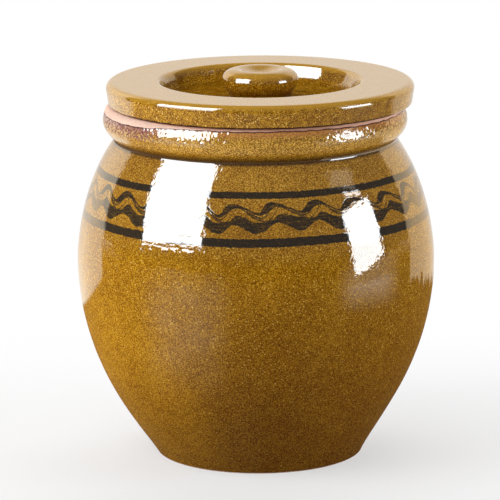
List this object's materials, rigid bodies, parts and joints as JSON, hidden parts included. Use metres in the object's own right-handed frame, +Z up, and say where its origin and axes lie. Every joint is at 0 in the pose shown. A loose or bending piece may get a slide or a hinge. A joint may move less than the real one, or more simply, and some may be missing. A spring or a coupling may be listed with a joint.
{
  "type": "rice storage jar",
  "caption": "Wide-bellied glazed stoneware jar with a rolled rim and a loose sunken lid, for keeping rice or other dry food.",
  "frame": {"origin": "middle of the foot, on the surface that the jar stands on", "axes": "+Z up the jar's axis, -Y towards the viewer of the picture, +X to that viewer's right"},
  "size_m": [0.288, 0.288, 0.313],
  "materials": {
    "jar_glaze": "glossy amber glaze with fine yellow specks and dark brushed bands",
    "lid_glaze": "glossy amber glaze with fine yellow specks",
    "knob_glaze": "glossy amber glaze with fine yellow specks"
  },
  "bodies": {
    "jar": {"jar_body": "jar_glaze"},
    "lid": {"lid": "lid_glaze", "lid_knob": "knob_glaze"}
  },
  "joints": [
    {"name": "lid_lift", "type": "slide", "parent": "jar", "child": "lid", "axis": [0, 0, 1], "range_m": [0, 0.2]}
  ]
}
